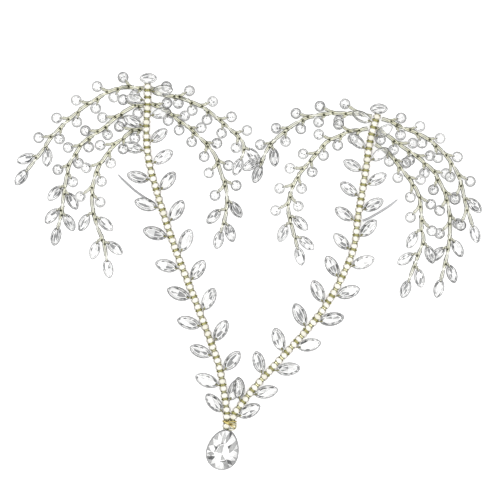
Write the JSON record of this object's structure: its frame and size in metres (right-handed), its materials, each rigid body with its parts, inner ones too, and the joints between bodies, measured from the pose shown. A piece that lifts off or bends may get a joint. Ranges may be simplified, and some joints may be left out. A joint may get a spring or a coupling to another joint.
{
  "type": "forehead headband",
  "caption": "Forehead headband: two stone-set cup chains meet in a V at a large drop stone, with leaf-shaped stones along them and fans of wired stone branches at the tops.",
  "frame": {"origin": "on the flat back of the drop stone, at the middle of its round end", "axes": "+X to the right across the width, +Y from the drop up to the tops of the chains, +Z out of the front, away from the surface that the headband lies on"},
  "size_m": [0.2001, 0.171, 0.0058],
  "materials": {
    "gold_chain": "polished yellow gold plate",
    "pale_gold_wire": "bright pale champagne-gold wire",
    "clear_stone": "cut and polished clear glass",
    "steel_pin": "plain bright steel"
  },
  "bodies": {
    "root": {"left_chain": "gold_chain", "right_chain": "gold_chain", "left_binding_wire": "gold_chain", "right_binding_wire": "gold_chain", "drop_stone": "clear_stone", "drop_binding": "gold_chain", "left_top_stone": "clear_stone", "right_top_stone": "clear_stone", "left_outer_leaves": "clear_stone", "left_inner_leaves": "clear_stone", "right_inner_leaves": "clear_stone", "right_outer_leaves": "clear_stone", "left_outer_high_wire": "pale_gold_wire", "left_outer_high_stones": "clear_stone", "left_outer_mid_wire": "pale_gold_wire", "left_outer_mid_stones": "clear_stone", "left_outer_low_wire": "pale_gold_wire", "left_outer_low_stones": "clear_stone", "left_inner_high_wire": "pale_gold_wire", "left_inner_high_stones": "clear_stone", "left_inner_low_wire": "pale_gold_wire", "left_inner_low_stones": "clear_stone", "right_inner_high_wire": "pale_gold_wire", "right_inner_high_stones": "clear_stone", "right_inner_low_wire": "pale_gold_wire", "right_inner_low_stones": "clear_stone", "right_outer_high_wire": "pale_gold_wire", "right_outer_high_stones": "clear_stone", "right_outer_mid_wire": "pale_gold_wire", "right_outer_mid_stones": "clear_stone", "right_outer_low_wire": "pale_gold_wire", "right_outer_low_stones": "clear_stone", "left_hair_pin": "steel_pin", "right_hair_pin": "steel_pin"}
  },
  "joints": []
}
